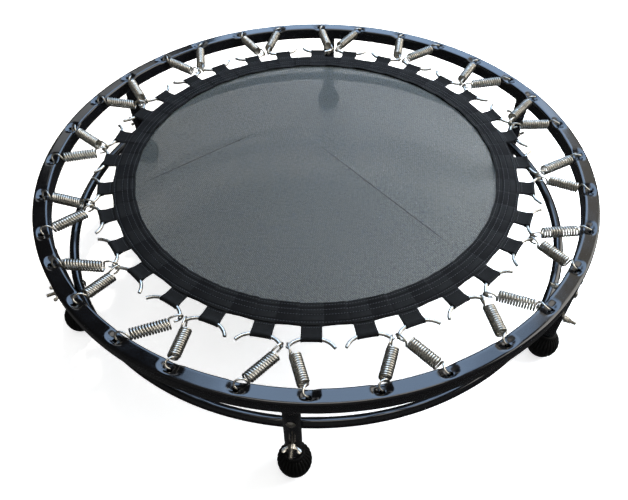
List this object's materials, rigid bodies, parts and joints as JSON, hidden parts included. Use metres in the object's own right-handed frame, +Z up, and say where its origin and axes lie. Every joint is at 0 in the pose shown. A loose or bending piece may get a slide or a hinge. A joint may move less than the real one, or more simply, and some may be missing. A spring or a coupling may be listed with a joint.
{
  "type": "mini trampoline",
  "caption": "Round mini trampoline: woven mat held by hooked coil springs in a square-tube ring on legs with rubber feet and a lower brace hoop.",
  "frame": {"origin": "on the floor under the middle of the ring", "axes": "+Z up; -Y towards the picture's viewer; +X to the viewer's right"},
  "size_m": [0.9538, 0.9926, 0.2217],
  "materials": {
    "gloss_black_paint": "gloss black powder coat on steel tube",
    "spring_steel": "bright zinc-plated spring wire",
    "zinc_plated_steel": "bright zinc-plated fasteners",
    "black_rubber": "matt moulded rubber with fine ribs",
    "woven_mat": "tight woven polypropylene mesh, slightly see-through",
    "black_webbing": "black webbing with rows of stitching"
  },
  "bodies": {
    "frame": {"rear_half_ring": "gloss_black_paint", "front_half_ring": "gloss_black_paint", "brace_hoop": "gloss_black_paint", "leg_1": "gloss_black_paint", "leg_2": "gloss_black_paint", "leg_3": "gloss_black_paint", "leg_4": "gloss_black_paint", "leg_5": "gloss_black_paint", "leg_6": "gloss_black_paint", "rubber_foot_1": "black_rubber", "rubber_foot_2": "black_rubber", "rubber_foot_3": "black_rubber", "rubber_foot_4": "black_rubber", "rubber_foot_5": "black_rubber", "rubber_foot_6": "black_rubber", "spring_01": "spring_steel", "spring_02": "spring_steel", "spring_03": "spring_steel", "spring_04": "spring_steel", "spring_05": "spring_steel", "spring_06": "spring_steel", "spring_07": "spring_steel", "spring_08": "spring_steel", "spring_09": "spring_steel", "spring_10": "spring_steel", "spring_11": "spring_steel", "spring_12": "spring_steel", "spring_13": "spring_steel", "spring_14": "spring_steel", "spring_15": "spring_steel", "spring_16": "spring_steel", "spring_17": "spring_steel", "spring_18": "spring_steel", "spring_19": "spring_steel", "spring_20": "spring_steel", "spring_21": "spring_steel", "spring_22": "spring_steel", "spring_23": "spring_steel", "spring_24": "spring_steel", "spring_25": "spring_steel", "spring_26": "spring_steel", "spring_27": "spring_steel", "spring_28": "spring_steel", "spring_29": "spring_steel", "spring_30": "spring_steel", "spring_31": "spring_steel", "spring_32": "spring_steel"},
    "mat": {"jumping_mat": "woven_mat", "edge_band": "black_webbing"},
    "wing_nut_1": {"wing_nut_1": "zinc_plated_steel"},
    "wing_nut_2": {"wing_nut_2": "zinc_plated_steel"},
    "wing_nut_3": {"wing_nut_3": "zinc_plated_steel"},
    "wing_nut_4": {"wing_nut_4": "zinc_plated_steel"},
    "wing_nut_5": {"wing_nut_5": "zinc_plated_steel"},
    "wing_nut_6": {"wing_nut_6": "zinc_plated_steel"}
  },
  "joints": [
    {"name": "mat_bounce", "type": "slide", "parent": "frame", "child": "mat", "axis": [0, 0, 1], "range_m": [-0.1, 0.012], "stiffness_N_per_m": 10000, "deforming": ["spring_01", "spring_02", "spring_03", "spring_04", "spring_05", "spring_06", "spring_07", "spring_08", "spring_09", "spring_10", "spring_11", "spring_12", "spring_13", "spring_14", "spring_15", "spring_16", "spring_17", "spring_18", "spring_19", "spring_20", "spring_21", "spring_22", "spring_23", "spring_24", "spring_25", "spring_26", "spring_27", "spring_28", "spring_29", "spring_30", "spring_31", "spring_32"]},
    {"name": "wing_nut_1_turn", "type": "hinge", "parent": "frame", "child": "wing_nut_1", "pos_m": [0.41935, 0.20092, 0.103], "axis": [0.9018, 0.4321, 0], "continuous": true},
    {"name": "wing_nut_2_turn", "type": "hinge", "parent": "frame", "child": "wing_nut_2", "pos_m": [0.03567, 0.46363, 0.103], "axis": [0.0767, 0.9971, 0], "continuous": true},
    {"name": "wing_nut_3_turn", "type": "hinge", "parent": "frame", "child": "wing_nut_3", "pos_m": [-0.38368, 0.26271, 0.103], "axis": [-0.8251, 0.565, 0], "continuous": true},
    {"name": "wing_nut_4_turn", "type": "hinge", "parent": "frame", "child": "wing_nut_4", "pos_m": [-0.41935, -0.20092, 0.103], "axis": [-0.9018, -0.4321, 0], "continuous": true},
    {"name": "wing_nut_5_turn", "type": "hinge", "parent": "frame", "child": "wing_nut_5", "pos_m": [-0.03567, -0.46363, 0.103], "axis": [-0.0767, -0.9971, 0], "continuous": true},
    {"name": "wing_nut_6_turn", "type": "hinge", "parent": "frame", "child": "wing_nut_6", "pos_m": [0.38368, -0.26271, 0.103], "axis": [0.8251, -0.565, 0], "continuous": true}
  ]
}
